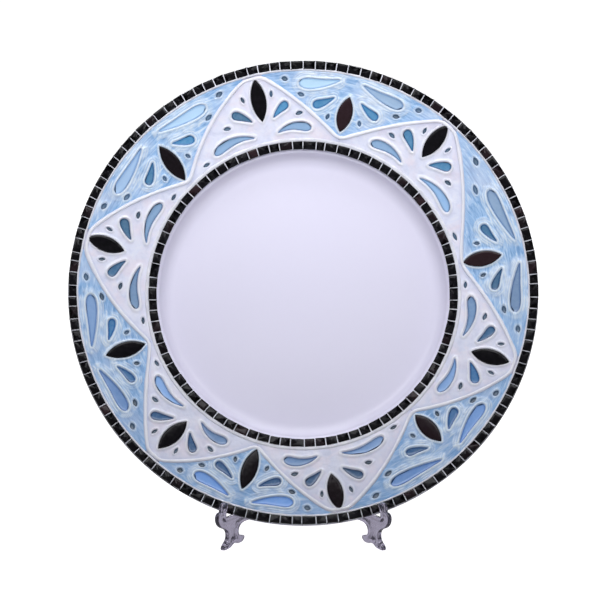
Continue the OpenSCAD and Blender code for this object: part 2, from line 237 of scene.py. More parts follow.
def signed_distance(points, loop):
    """Distance to a closed outline, negative inside it."""
    best = np.full(len(points), 1e9)
    inside = np.zeros(len(points), bool)
    for a, b in zip(loop, np.roll(loop, -1, axis=0)):
        ab = b - a
        ap = points - a
        t = np.clip(ap @ ab / max(ab @ ab, 1e-12), 0, 1)
        best = np.minimum(best, ((ap - t[:, None] * ab) ** 2).sum(1))
        if a[1] != b[1]:
            hit = (a[1] > points[:, 1]) != (b[1] > points[:, 1])
            inside ^= hit & (points[:, 0] < ab[0] * (points[:, 1] - a[1]) / ab[1] + a[0])
    best = np.sqrt(best)
    return np.where(inside, -best, best)


def rounded(loop, steps=3):
    """A closed outline with Catmull-Rom points between its own."""
    p0, p1, p2, p3 = np.roll(loop, 1, 0), loop, np.roll(loop, -1, 0), np.roll(loop, -2, 0)
    rows = []
    for t in np.arange(steps) / steps:
        rows.append(0.5 * (2 * p1 + (p2 - p0) * t + (2 * p0 - 5 * p1 + 4 * p2 - p3) * t**2
                           + (3 * p1 - p0 - 3 * p2 + p3) * t**3))
    return np.stack(rows, 1).reshape(-1, 2)


def across_outline(loop, n, shares):
    """Plan grid of n rows from side to side of a long outline, and how far inside its points are."""
    gap = np.linalg.norm(loop[:, None] - loop[None], axis=2)
    i, j = sorted(np.unravel_index(gap.argmax(), gap.shape))
    sides = [loop[i:j + 1], np.vstack([loop[j:], loop[:i + 1]])[::-1]]
    short_of_end = 0.035
    t = 0.5 - 0.5 * np.cos(np.linspace(short_of_end, 1 - short_of_end, n) * math.pi)
    ends = []
    for side in sides:
        length = np.r_[0, np.cumsum(np.linalg.norm(np.diff(side, axis=0), axis=1))]
        ends.append(np.stack([np.interp(t * length[-1], length, side[:, k]) for k in (0, 1)], -1))
    near, far = ends
    xy = near[:, None] + (far - near)[:, None] * np.array(shares)[None, :, None]
    inside = np.maximum(-signed_distance(xy.reshape(-1, 2), loop), 0).reshape(xy.shape[:2])
    return xy[..., 0], xy[..., 1], inside


# ---- building pieces ----


def add_object(name, data):
    obj = bpy.data.objects.new(name, data)
    bpy.context.scene.collection.objects.link(obj)
    return obj


def mesh_object(name, verts, faces):
    """An object from mesh data in millimetres, with its faces turned outward."""
    mesh = bpy.data.meshes.new(name)
    mesh.from_pydata((np.asarray(verts) * MM).tolist(), [], [list(map(int, f)) for f in faces])
    work = bmesh.new()
    work.from_mesh(mesh)
    bmesh.ops.recalc_face_normals(work, faces=work.faces)
    work.to_mesh(mesh)
    work.free()
    return add_object(name, mesh)


# by numbers at a point: kind of attribute, its field
ATTRIBUTES = {1: ("FLOAT", "value"), 3: ("FLOAT_VECTOR", "vector"), 4: ("FLOAT_COLOR", "color")}


def piece(name, body, nodes, verts, faces, shader, matrix=PLATE_MATRIX, points=None):
    """A piece with values at its points, which stands for CAD nodes and rides on a body."""
    obj = mesh_object(name, verts, faces)
    mesh = obj.data
    for key, values in (points or {}).items():
        kind, field = ATTRIBUTES[values.size // len(values)]
        values = np.asarray(values, np.float32)
        mesh.attributes.new(key, kind, "POINT").data.foreach_set(field, values.ravel())
    mesh.polygons.foreach_set("use_smooth", [True] * len(mesh.polygons))
    mesh.materials.append(shader)
    obj.matrix_world = matrix
    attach(obj, body)
    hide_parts(*nodes)


def joined(solids):
    """One mesh from solids of vertices, faces and values, given for each vertex or for the whole."""
    verts, faces, points, count = [], [], {}, 0
    for own_verts, own_faces, values in solids:
        verts.append(own_verts)
        faces += [[i + count for i in f] for f in own_faces]
        count += len(own_verts)
        for key, value in values.items():
            if len(np.atleast_1d(value)) != len(own_verts):
                value = np.broadcast_to(value, (len(own_verts),) + np.shape(value))
            points.setdefault(key, []).append(value)
    return np.concatenate(verts), faces, {key: np.concatenate(rows) for key, rows in points.items()}


def slab(top, low, rows, cols):
    """Closed solid between a fine top grid and a low grid of every rows-th row and cols-th column."""
    r, c = top.shape[:2]
    low = low[::rows, ::cols]
    lr, lc = low.shape[:2]
    base = r * c

    def t(i, j):
        return i * c + j

    def b(i, j):
        return base + i * lc + j

    faces = [[t(i, j), t(i + 1, j), t(i + 1, j + 1), t(i, j + 1)]
             for i in range(r - 1) for j in range(c - 1)]
    faces += [[b(i, j), b(i, j + 1), b(i + 1, j + 1), b(i + 1, j)]
              for i in range(lr - 1) for j in range(lc - 1)]
    for i in range(lr - 1):
        for jt, jb, turn in ((0, 0, 1), (c - 1, lc - 1, -1)):
            wall = [t(k, jt) for k in range(i * rows, (i + 1) * rows + 1)][::-1]
            wall += [b(i, jb), b(i + 1, jb)]
            faces.append(wall[::turn])
    for j in range(lc - 1):
        for it, ib, turn in ((0, 0, 1), (r - 1, lr - 1, -1)):
            wall = [t(it, k) for k in range(j * cols, (j + 1) * cols + 1)]
            wall += [b(ib, j + 1), b(ib, j)]
            faces.append(wall[::turn])
    return np.concatenate([top.reshape(-1, 3), low.reshape(-1, 3)]), faces


def bands(levels, n):
    """Quads from each closed level of n points to the next."""
    return [[i * n + j, i * n + (j + 1) % n, (i + 1) * n + (j + 1) % n, (i + 1) * n + j]
            for i in range(levels - 1) for j in range(n)]


def ring_solid(rings):
    """Closed ring from points of shape (points of the profile, steps round, 3)."""
    p, n = rings.shape[:2]
    last = (p - 1) * n
    faces = bands(p, n) + [[last + j, last + (j + 1) % n, (j + 1) % n, j] for j in range(n)]
    return rings.reshape(-1, 3), faces


def turned(profile, steps):
    """Rings of points from a profile of (radius, height) turned about the axis."""
    a = np.arange(steps) / steps * TURN
    profile = np.array(profile, float)
    r, w = profile[:, 0][:, None], profile[:, 1][:, None]
    return np.stack([r * np.sin(a), r * np.cos(a), np.broadcast_to(w, (len(profile), steps))], -1)


# ---- shaders ----


def srgb(r, g, b):
    """Screen colour 0-255 to scene-linear."""
    return tuple(c / 255 / 12.92 if c <= 10 else ((c / 255 + 0.055) / 1.055) ** 2.4 for c in (r, g, b))


SHADE_START = 0.01  # metres above the plate's middle, below which the painted shade begins
SHADE_GROWTH = 2.4  # share of the painted shade's colour gained per metre


class Shader:
    """A Principled material and short calls for the nodes that feed it."""

    def __init__(self, name, **sockets):
        self.mat = bpy.data.materials.new(name)
        self.mat.use_nodes = True
        self.tree = self.mat.node_tree
        self.bsdf = self.tree.nodes["Principled BSDF"]
        self.set(**sockets)

    def put(self, socket, value):
        if isinstance(value, bpy.types.NodeSocket):
            self.tree.links.new(value, socket)
        elif hasattr(value, "__len__") and len(value) == 3 and socket.type == "RGBA":
            socket.default_value = (*value, 1)
        else:
            socket.default_value = value

    def fill(self, node, sockets):
        for key, value in sockets.items():
            self.put(node.inputs[key.replace("_", " ")], value)
        return node

    def set(self, **sockets):
        self.fill(self.bsdf, sockets)

    def node(self, kind, **sockets):
        return self.fill(self.tree.nodes.new("ShaderNode" + kind), sockets)

    def place(self):
        return self.node("TexCoord").outputs["Object"]

    def point(self, name, output="Fac"):
        node = self.node("Attribute")
        node.attribute_name = name
        return node.outputs[output]

    def stretch(self, vector, scale):
        return self.node("Mapping", Vector=vector, Scale=scale).outputs["Vector"]

    def noise(self, vector, scale, detail=3.0, roughness=0.5, distortion=0.0):
        return self.node("TexNoise", Vector=vector, Scale=scale, Detail=detail, Roughness=roughness,
                         Distortion=distortion).outputs["Fac"]

    def ramp(self, value, stops):
        node = self.node("ValToRGB", Fac=value)
        ramp = node.color_ramp
        while len(ramp.elements) < len(stops):
            ramp.elements.new(0.5)
        for element, (position, colour) in zip(ramp.elements, stops):
            element.position = position
            element.color = (*colour, 1) if hasattr(colour, "__len__") else (colour,) * 3 + (1,)
        return node.outputs["Color"]

    def mix(self, factor, a, b, blend="MIX"):
        node = self.node("Mix")
        node.data_type = "RGBA"
        node.blend_type = blend
        self.put(node.inputs[0], factor)
        self.put(node.inputs[6], a)
        self.put(node.inputs[7], b)
        return node.outputs[2]

    def math(self, operation, a, b=0.0):
        node = self.node("Math")
        node.operation = operation
        self.put(node.inputs[0], a)
        self.put(node.inputs[1], b)
        return node.outputs[0]

    def range(self, value, lo, hi):
        """A value from 0 to 1 taken to lo to hi."""
        return self.node("MapRange", Value=value, To_Min=lo, To_Max=hi).outputs["Result"]

    def shade_below(self, at):
        """0 on the upper half of the plate, growing downward: painted shade that darkens the paint
        towards the bottom.
        """
        below = self.math("SUBTRACT", SHADE_START, self.node("SeparateXYZ", Vector=at).outputs["Y"])
        return self.math("MULTIPLY", self.math("MAXIMUM", below, 0.0), SHADE_GROWTH)

    def bump(self, height, strength, distance):
        node = self.node("Bump", Strength=strength, Distance=distance, Height=height)
        self.set(Normal=node.outputs["Normal"])


BARE_BELOW = 0.6  # height up to which the sole of the foot ring is unglazed


def china_shader():
    s = Shader("china_glaze", Coat_Weight=0.4, Coat_Roughness=0.12)
    at = s.place()
    cloud = s.noise(at, 9, 1)
    speck = s.ramp(s.noise(at, 900, 2), [(0.72, 0.0), (0.78, 1.0)])
    glaze = s.ramp(cloud, [(0.3, srgb(229, 226, 245)), (0.7, srgb(232, 229, 247))])
    glaze = s.mix(s.math("MULTIPLY", speck, 0.18), glaze, srgb(190, 186, 200))
    bare = s.math("LESS_THAN", s.point("height"), BARE_BELOW)
    biscuit = s.ramp(s.noise(at, 1800, 4), [(0.35, srgb(214, 205, 192)), (0.65, srgb(232, 226, 215))])
    s.set(Base_Color=s.mix(bare, glaze, biscuit))
    wet = s.range(s.noise(at, 20, 1), 0.26, 0.275)
    s.set(Roughness=s.math("MAXIMUM", wet, s.math("MULTIPLY", bare, 0.8)))
    s.bump(s.noise(at, 45, 1), 0.06, 0.0004)
    return s.mat


def grout_shader():
    s = Shader("tile_grout", Specular_IOR_Level=0.3)
    at = s.place()
    tone = s.ramp(s.noise(at, 160, 4, 0.6), [(0.3, srgb(218, 219, 230)), (0.7, srgb(242, 242, 248))])
    pits = s.ramp(s.noise(at, 1500, 3), [(0.62, 0.0), (0.72, 1.0)])
    s.set(Base_Color=s.mix(s.math("MULTIPLY", pits, 0.3), tone, srgb(170, 166, 178)))
    s.set(Roughness=s.range(s.noise(at, 500, 3), 0.6, 0.9))
    s.bump(s.noise(at, 1300, 4, 0.6), 0.5, 0.0003)
    return s.mat


def black_glass_shader():
    s = Shader("black_glass", Coat_Weight=0.08, Coat_Roughness=0.05, Specular_IOR_Level=0.28)
    at = s.place()
    body = s.mix(s.point("tint"), srgb(8, 7, 11), srgb(62, 41, 46))
    cloud = s.ramp(s.noise(at, 420, 4, 0.6), [(0.4, srgb(5, 5, 8)), (0.75, srgb(30, 26, 34))])
    s.set(Base_Color=s.mix(0.45, body, cloud))
    s.set(Roughness=s.range(s.noise(at, 350, 3), 0.06, 0.3))
    s.bump(s.noise(at, 220, 1), 0.14, 0.0006)
    return s.mat


def white_relief_shader():
    s = Shader("white_relief_paint", Coat_Weight=0.6, Coat_Roughness=0.1)
    at = s.place()
    wash = s.noise(at, 130, 4, 0.6, 0.4)
    base = s.ramp(wash, [(0.3, srgb(218, 222, 243)), (0.5, srgb(232, 235, 253)),
                         (0.72, srgb(242, 243, 254))])
    # painted shade: greyer towards the bottom of the plate, where the light falls off
    base = s.mix(s.shade_below(at), base, srgb(184, 186, 206))
    blush = s.ramp(s.noise(at, 85, 3, 0.55, 0.5), [(0.45, 0.0), (0.7, 0.5)])
    base = s.mix(blush, base, srgb(244, 229, 238))
    base = s.mix(s.math("MULTIPLY", s.point("bead"), 0.7), base, srgb(250, 250, 254))
    # painted shade in the hollow rim round each drop
    base = s.mix(s.math("MULTIPLY", s.point("recess_shade"), 0.45), base, srgb(150, 166, 196))
    # painted shade beside the dividing ridges
    base = s.mix(s.math("MULTIPLY", s.point("edge"), 0.5), base, srgb(192, 198, 224))
    s.set(Base_Color=base)
    s.set(Roughness=s.range(s.noise(at, 260, 3), 0.28, 0.5))
    s.bump(s.noise(at, 700, 4, 0.55), 0.35, 0.0003)
    return s.mat


def blue_relief_shader():
    s = Shader("blue_relief_paint", Coat_Weight=0.65, Coat_Roughness=0.09)
    at = s.place()
    flow = s.point("flow", "Vector")
    streak = s.noise(s.stretch(flow, (0.5, 0.09, 1)), 1.0, 4, 0.62, 0.8)
    cloud = s.noise(at, 75, 3, 0.5, 0.3)
    base = s.ramp(streak, [(0.32, srgb(100, 146, 200)), (0.45, srgb(146, 186, 230)),
                           (0.56, srgb(180, 212, 246)), (0.67, srgb(236, 246, 255))])
    base = s.mix(s.range(cloud, 0.0, 0.4), base, srgb(158, 196, 238))
    wash = s.ramp(s.noise(at, 34, 3, 0.55, 0.6), [(0.46, 0.0), (0.68, 0.5)])
    base = s.mix(wash, base, srgb(222, 230, 250))
    # painted shade: a deeper blue towards the bottom of the plate, where the light falls off
    base = s.mix(s.shade_below(at), base, srgb(98, 140, 192))
    base = s.mix(s.math("MULTIPLY", s.point("edge"), 0.45), base, srgb(142, 186, 230))
    # painted shade in the hollow rim round each drop
    base = s.mix(s.math("MULTIPLY", s.point("recess_shade"), 0.65), base, srgb(88, 126, 168))
    base = s.mix(s.math("MULTIPLY", s.point("bead"), 0.95), base, srgb(238, 247, 255))
    s.set(Base_Color=base)
    s.set(Roughness=s.range(s.noise(at, 260, 3), 0.2, 0.42))
    s.bump(s.noise(s.stretch(flow, (2.2, 0.5, 1)), 1.0, 4, 0.6, 0.5), 0.3, 0.0004)
    return s.mat


def drop_shader(name, rim):
    """Glass enamel, its pigment darkened near its edge by the rim colour as painted shade."""
    s = Shader(name, Coat_Weight=0.5, Coat_Roughness=0.05)
    at = s.place()
    pigment = s.point("pigment", "Color")
    # painted shade: the pigment multiplied by the rim colour towards the drop's edge
    dark = s.mix(1.0, pigment, srgb(*rim), "MULTIPLY")
    light = s.mix(0.26, pigment, srgb(218, 238, 255))
    cloud = s.noise(at, 420, 3, 0.6, 0.5)
    base = s.mix(s.range(cloud, 0.0, 0.9), pigment, light)
    s.set(Base_Color=s.mix(s.point("edge_shade_fade"), dark, base))
    s.set(Roughness=s.range(s.noise(at, 500, 2), 0.08, 0.22))
    s.bump(s.noise(at, 600, 2), 0.2, 0.0003)
    return s.mat


def plastic_shader(name, tint):
    s = Shader(name, Transmission_Weight=0.9, IOR=1.49)
    at = s.place()
    cloud = s.noise(at, 40, 3, 0.5, 0.4)
    lighter = [c + 10 for c in tint]
    s.set(Base_Color=s.ramp(cloud, [(0.3, srgb(*tint)), (0.7, srgb(*lighter))]))
    s.set(Roughness=s.range(s.noise(at, 180, 3), 0.03, 0.12))
    s.bump(s.noise(s.stretch(at, (1, 1, 0.25)), 260, 2), 0.12, 0.0004)
    return s.mat


CHINA = china_shader()
GROUT = grout_shader()
BLACK_GLASS = black_glass_shader()
WHITE_RELIEF = white_relief_shader()
BLUE_RELIEF = blue_relief_shader()
# the second colour is the painted shade at each drop's edge
TEAL_GLASS = drop_shader("teal_glass", (150, 168, 184))
BLUE_GLASS = drop_shader("blue_glass", (182, 200, 226))
CLEAR_PLASTIC = plastic_shader("clear_plastic", (146, 141, 159))
PIN_PLASTIC = plastic_shader("pin_plastic", (156, 151, 169))


# ---- china ----

CHINA_T = 4.8
FLOOR_W = 8.0  # top of the well's floor
UNDER_W = 3.0  # underside of the floor, inside the foot ring
FOOT_R = 72.0
FLOOR_R = LIP_R - 11.4
CORNER = 3.0  # where the rim's underside starts to turn up into its edge
china_v = CHINA_T / COS
lip_w = rim_w(LIP_R)
under_end = (LIP_R + 6, rim_w(LIP_R + 6) - china_v)
corner_end = (PLATE_R - CORNER, rim_w(PLATE_R - CORNER) - china_v)
rim_end = (PLATE_R - 1.2, rim_w(PLATE_R - 1.2))

# radius and height, from the middle of the underside round the edge to the middle of the well
profile = [(r, UNDER_W) for r in (0, 12, 24, 36, 48, 60)]
foot = [(-3.4, UNDER_W)]
foot += bezier([(-3.4, UNDER_W), (-2, 2.8), (-1.8, 1)], 5)[1:]
foot += bezier([(-1.8, 1), (-1.6, 0), (-0.8, 0)], 5)
foot += bezier([(-0.8, 0), (0, 0), (0.8, 0)], 2)
foot += bezier([(0.8, 0), (1.6, 0), (1.9, 1.2)], 5)
foot += bezier([(1.9, 1.2), (2.2, 4), (6, 4.6)], 7)
profile += [(FOOT_R + r, w) for r, w in foot]
profile += bezier([(FOOT_R + 6, 4.6), (FOOT_R + 17, 6.2), (FOOT_R + 20, 10.4), under_end], 12)
profile += [(r, rim_w(r) - china_v) for r in np.linspace(under_end[0], corner_end[0], 7)[:-1]]
profile += bezier([corner_end, (PLATE_R, rim_w(PLATE_R) - china_v), (PLATE_R, rim_w(PLATE_R) - 2.4)], 8)
profile += bezier([(PLATE_R, rim_w(PLATE_R) - 2.4), (PLATE_R, rim_w(PLATE_R) - 0.4), rim_end], 6)
profile += [(r, rim_w(r)) for r in np.linspace(rim_end[0], LIP_R, 7)[:-1]]
profile += bezier([(LIP_R, lip_w), (LIP_R - 1.2, lip_w - 0.3), (LIP_R - 2, lip_w - 1.4)], 6)
profile += bezier([(LIP_R - 2, lip_w - 1.4), (LIP_R - 3.8, lip_w - 5.6), (LIP_R - 5.6, FLOOR_W),
                   (FLOOR_R, FLOOR_W)], 20)
profile += [(r, FLOOR_W) for r in (FLOOR_R, 78, 72, 64, 56, 48, 40, 32, 24, 16, 8, 0)]


def china_body():
    """The plate itself, closed at both poles, with the slight waviness of thrown china."""
    steps = 192
    rings = turned(profile[1:-1], steps)
    x, y, w = rings[..., 0], rings[..., 1], rings[..., 2]
    wave = 0.06 * grain(x, y, 30, 3) + 0.03 * grain(x, y, 11, 5)
    rings[..., 2] += wave * smooth(0.5, 2.5, w)
    poles = [[0, 0, UNDER_W], [0, 0, FLOOR_W]]
    verts = np.concatenate([rings.reshape(-1, 3), poles])
    under = len(verts) - 2
    last = under - steps
    faces = bands(len(rings), steps)
    faces += [[j, under, (j + 1) % steps] for j in range(steps)]
    faces += [[last + (j + 1) % steps, under + 1, last + j] for j in range(steps)]
    # laid straight into the frame, so that its box is its true box
    piece("china_plate", "plate", ["plate_body"], ORIGIN + verts @ AXES, faces, CHINA,
          matrix=Matrix.Identity(4), points={"height": verts[:, 2]})


# ---- rings of tiles and grout ----

TILE_SPREAD = 1.03  # outline against the CAD's, which leaves a narrower joint
TILE_TILT = 0.03
TILE_RISE = 0.1
# scale of the outline and height from the tile's top, from the arris inward
TILE_LEVELS = ((1.0, -0.34), (0.984, -0.12), (0.94, -0.01), (0.5, 0.06))
TILE_MIDDLE = 0.07
TILE_FOOT_H = 0.3


def tile_solid(loop, top, k, seed):
    """One hand-cut glass tile: rounded corners, a softened edge and a slightly tilted, domed top."""
    c = loop.mean(0)
    loop = c + (loop - c) * TILE_SPREAD
    outline = []
    for i in range(4):
        p, before, after = loop[i], loop[i - 1], loop[(i + 1) % 4]
        cut = 0.36 + 0.24 * dice(k * 4 + i, seed)
        a = p + (before - p) / np.linalg.norm(before - p) * cut
        b = p + (after - p) / np.linalg.norm(after - p) * cut
        outline += [a, (a + b) / 2 * 0.6 + p * 0.4, b]
    outline = np.array(outline)
    tilt = np.array([dice(k, seed + 1), dice(k, seed + 2)]) * TILE_TILT
    top += TILE_RISE * dice(k, seed + 3)
    rings = [on_rim(outline[:, 0], outline[:, 1], TILE_FOOT_H)]
    for scale, height in TILE_LEVELS:
        xy = c + (outline - c) * scale
        rings.append(on_rim(xy[:, 0], xy[:, 1], top + height + (xy - c) @ tilt))
    verts = np.concatenate(rings + [on_rim(c[:1], c[1:], top + TILE_MIDDLE)])
    m = len(outline)
    middle = len(verts) - 1
    last = middle - m
    faces = bands(len(rings), m)
    faces += [[last + j, last + (j + 1) % m, middle] for j in range(m)]
    faces += [list(range(m))[::-1]]
    return verts, faces


def tile_ring(name, node, seed):
    """All the tiles of a ring in one piece, some of them with a brown cast."""
    solids = []
    for k, part in enumerate(part_list(node)):
        verts, faces = tile_solid(*top_outline(*part), k, seed)
        solids.append((verts, faces, {"tint": max(0.0, dice(k, seed + 4)) ** 2}))
    verts, faces, points = joined(solids)
    piece(name, "plate", [node], verts, faces, BLACK_GLASS, points=points)


def grout_ring(name, node, section, steps, seed):
    """A ring of grout with a trowelled surface, from points of radius, height and unevenness."""
    a = np.arange(steps) / steps * TURN
    rings = []
    for r, h, rough in section:
        x, y = r * np.sin(a), r * np.cos(a)
        shake = grain(x, y, 2.6, seed) * 0.55 + grain(x, y, 9, seed + 1) * 0.45
        creep = grain(x, y, 6, seed + 2) * 0.25 * rough
        rings.append(on_rim(x * (1 + creep / r), y * (1 + creep / r), h + rough * 0.3 * shake))
    verts, faces = ring_solid(np.array(rings))
    piece(name, "plate", [node], verts, faces, GROUT)


OUTER_EDGE = OUTER_R + TILE_HALF
INNER_EDGE = INNER_R + TILE_HALF
ridge_verts, _ = cad_mesh("divider_ridges")
ridge_r = np.hypot(*off_rim(to_plate(ridge_verts))[:2])
FIELD_IN = float(ridge_r.min())
FIELD_OUT = float(ridge_r.max())

BED_H = 1.95  # the grout's surface between the tiles
# radius, height above the china, unevenness
OUTER_GROUT = [
    (FIELD_OUT, 0.05, 0), (FIELD_OUT - 0.1, 1.2, 0.5), (FIELD_OUT + 0.25, 2.0, 1),
    (FIELD_OUT + 0.75, 2.55, 1), (FIELD_OUT + 1.25, 2.55, 1), (FIELD_OUT + 1.65, 2.15, 1),
    (OUTER_R - TILE_HALF + 0.2, BED_H, 0.8), (OUTER_R - 1, BED_H, 0.8), (OUTER_R + 1, BED_H, 0.8),
    (OUTER_EDGE - 0.5, 1.9, 0.8), (OUTER_EDGE - 0.05, 1.6, 0.7), (OUTER_EDGE + 0.15, 1.0, 0.4),
    (OUTER_EDGE + 0.1, 0.4, 0.2), (OUTER_EDGE - 0.6, 0.05, 0)]
INNER_GROUT = [
    (LIP_R + 0.3, 0.05, 0), (LIP_R - 0.05, 0.6, 0.3), (LIP_R, 1.4, 0.6), (LIP_R + 0.5, 1.9, 0.8),
    (INNER_R - 1, BED_H, 0.8), (INNER_R + 1, BED_H, 0.8), (INNER_EDGE - 0.2, BED_H, 0.8),
    (INNER_EDGE + 0.3, 2.1, 1), (INNER_EDGE + 0.8, 2.4, 1), (INNER_EDGE + 1.4, 2.35, 1),
    (INNER_EDGE + 2.0, 2.05, 1), (FIELD_IN - 0.1, 1.8, 0.7), (FIELD_IN + 0.15, 1.3, 0.4),
    (FIELD_IN, 0.05, 0)]


# ---- leaf tiles ----

LEAVES = {i: top_outline(*part_list(f"leaf_tile_{i}")[0]) for i in range(1, 13)}
BROWN_LEAVES = (2, 12)
LEAF_BEVEL = 0.65  # width of the ground edge
LEAF_BEVEL_H = 0.55
LEAF_FOOT_H = 0.35


def leaf_tile(i):
    """A pointed leaf of cut black glass with a ground edge."""
    loop, top = LEAVES[i]
    x, y, inside = across_outline(loop, 31, [0, 0.035, 0.09, 0.16, 0.3, 0.5, 0.7, 0.84, 0.91, 0.965, 1])
    dome = 0.14 * smooth(0, 4.5, inside) + 0.05 * grain(x, y, 6, 20 + i)
    h = top - LEAF_BEVEL_H * (1 - smooth(0, LEAF_BEVEL, inside)) + dome
    verts, faces = slab(on_rim(x, y, h), on_rim(x, y, LEAF_FOOT_H), 5, 5)
    tint = 0.85 if i in BROWN_LEAVES else 0.25 + 0.25 * dice(i, 31)
    piece(f"black_leaf_{i}", "plate", [f"leaf_tile_{i}"], verts, faces, BLACK_GLASS,
          points={"tint": np.full(len(verts), tint)})


# ---- painted relief ----


def leaf_angle(i):
    """Angle of a leaf round the plate, clockwise from the top."""
    x, y = LEAVES[i][0].mean(0)
    return math.atan2(x, y) % TURN


WHITE_A = [leaf_angle(i) for i in (1, 3, 5, 7, 9, 11)]
BLUE_A = sorted(leaf_angle(i) for i in (12, 2, 4, 6, 8, 10))
BLUE_A.append(BLUE_A[0] + TURN)  # the first one again, to close the turn
RIDGE_HALF = 1.48
ZIG_LO = FIELD_IN + RIDGE_HALF
ZIG_HI = FIELD_OUT - RIDGE_HALF
ZIG_AIM = ZIG_HI + 4.3  # radius at which the two ridges of a white field would meet
# how far the ridges before and after each white leaf bow outward, 0 for straight ones
RIDGE_BOWS = [(0.5, 0.45), (0.55, 0.8), (0.7, 0.7), (0.8, 0.4), (0.8, 0.7), (0.9, 0.6)]


def ridge_angle(r, i, side):
    """Angle at radius r of the ridge before (side 0) or after (side 1) white field i."""
    corner, tip = BLUE_A[i + side], WHITE_A[i]
    r = np.clip(r, ZIG_LO, ZIG_HI)
    span = abs(tip - corner)
    aim_x, aim_y = ZIG_AIM * math.sin(span), ZIG_AIM * math.cos(span)
    nearest = ZIG_LO * aim_x / math.hypot(aim_x, aim_y - ZIG_LO)
    straight = np.arccos(nearest / r) - math.acos(nearest / ZIG_LO)
    spiral = span * (r - ZIG_LO) / (ZIG_AIM - ZIG_LO)
    bow = RIDGE_BOWS[i][side]
    return corner + math.copysign(1, tip - corner) * (straight * (1 - bow) + spiral * bow)


WHITE_DROPS, BLUE_DROPS = (
    {i: [top_outline(*part)[0] for part in part_list(f"{kind}_drops_{i}")] for i in range(1, 7)}
    for kind in ("white", "blue"))
SURFACE_H = 1.5  # the painted paste above the china
POOL_H = 0.45  # the hollows that the drops fill
BIG_DROP = 6.5
REACH = 5  # how far a drop or leaf shapes the paste round it
ECHOES = ((2.8, 0.46, 1.0), (4.2, 0.42, 0.8))  # distance, width and strength of a big drop's echo lines


def relief(x, y, drops, leaf, seed, echoed):
    """Height of the modelled surface and its paint masks: raised outlines, and painted shade in the
    hollow rim of each drop.
    """
    points = np.stack([x.ravel(), y.ravel()], -1)
    ground = (SURFACE_H + 0.13 * grain(x, y, 7, seed) + 0.07 * grain(x, y, 2.2, seed + 1)).ravel()
    raised, bead, recess_shade, cut = (np.zeros(len(points)) for _ in range(4))
    strength = 1 + 0.35 * grain(x, y, 5, seed + 2).ravel()
    for loop in drops + [leaf]:
        is_leaf = loop is leaf
        big = np.ptp(loop, axis=0).max() > BIG_DROP
        near = np.all((points > loop.min(0) - REACH) & (points < loop.max(0) + REACH), axis=1)
        d = signed_distance(points[near], loop if is_leaf else rounded(loop))
        out, wide = (0.75, 0.62) if is_leaf else (1.05, 0.72) if big else (0.7, 0.46)
        tall = 0.9 if is_leaf else 1.0 if big else 0.6
        line = np.exp(-(((d - out) / wide) ** 2))
        if big and echoed and not is_leaf:
            echo = sum(share * np.exp(-(((d - at) / width) ** 2)) for at, width, share in ECHOES)
            echo *= np.clip(0.65 + 1.1 * grain(x, y, 4, seed + 3).ravel()[near], 0, 1)
            raised[near] = np.maximum(raised[near], 0.8 * echo)
            bead[near] = np.maximum(bead[near], echo)
        raised[near] = np.maximum(raised[near], tall * line)
        bead[near] = np.maximum(bead[near], line * (1 if big or is_leaf else 0.6))
        if not is_leaf:
            # painted shade just inside each drop's edge, in the hollow it sits in
            recess_shade[near] = np.maximum(recess_shade[near], np.exp(-(((d + 0.1) / 0.38) ** 2)))
        cut[near] = np.maximum(cut[near], smooth(0.32, -0.3, d) * (0.5 if is_leaf else 1))
    h = ground + raised * strength
    h = h * (1 - cut) + POOL_H * cut
    return h.reshape(x.shape), bead.reshape(x.shape), recess_shade.reshape(x.shape)


FIELD_ROWS = 85
FIELD_COLUMNS = 109
MEAN_R = 125  # radius at which the brush streaks keep their length


def field(name, node, slot, shader, radii, left, right, drops, leaf, seed, echoed):
    """A painted field: a fine relief grid between two edge angles at each radius, on a plain base."""
    u = np.linspace(0, 1, FIELD_COLUMNS)
    a = left[:, None] + (right - left)[:, None] * u
    r = np.broadcast_to(radii[:, None], a.shape)
    x, y = r * np.sin(a), r * np.cos(a)
    h, bead, recess_shade = relief(x, y, drops, leaf, seed, echoed)
    side = np.minimum(u, 1 - u)[None, :] * (right - left)[:, None] * radii[:, None]
    # nearness to the dividing ridges: painted shade beside them on the white fields, a deeper blue on
    # the blue fields
    edge = 1 - smooth(1.2, 5.0, side * 0.8)
    verts, faces = slab(on_rim(x, y, h), on_rim(x, y, 0.02), 3, 4)
    extra = len(verts) - h.size

    def full(values):
        return np.r_[values.ravel(), np.zeros(extra)]

    flow = np.stack([full(r), full(a * MEAN_R), np.full(len(verts), seed * 3.1)], -1)
    piece(name, "plate", [node], verts, faces, shader,
          points={"bead": full(bead), "recess_shade": full(recess_shade), "edge": full(edge), "flow": flow})


def white_field(i):
    """Field i from 0, with its broad side at the inner ring."""
    radii = np.linspace(FIELD_IN - 0.3, ZIG_HI + 0.2, FIELD_ROWS)
    field(f"white_relief_{i + 1}", f"white_field_{i + 1}", "white_relief", WHITE_RELIEF, radii,
          ridge_angle(radii, i, 0), ridge_angle(radii, i, 1),
          WHITE_DROPS[i + 1], LEAVES[2 * i + 1][0], 40 + i, False)


def blue_field(i):
    """Field i from 0, with its broad side at the outer ring."""
    radii = np.linspace(ZIG_LO + 0.2, FIELD_OUT + 0.3, FIELD_ROWS)
    before = ridge_angle(radii, (i + 5) % 6, 1) - (TURN if i == 0 else 0)
    field(f"blue_relief_{i + 1}", f"blue_field_{i + 1}", "blue_relief", BLUE_RELIEF, radii,
          before, ridge_angle(radii, i, 0),
          BLUE_DROPS[i + 1], LEAVES[2 * i or 12][0], 60 + i, True)


# ---- dividing ridges ----

RIDGE_SIDE_H = 1.1
RIDGE_FOOT_H = 0.2


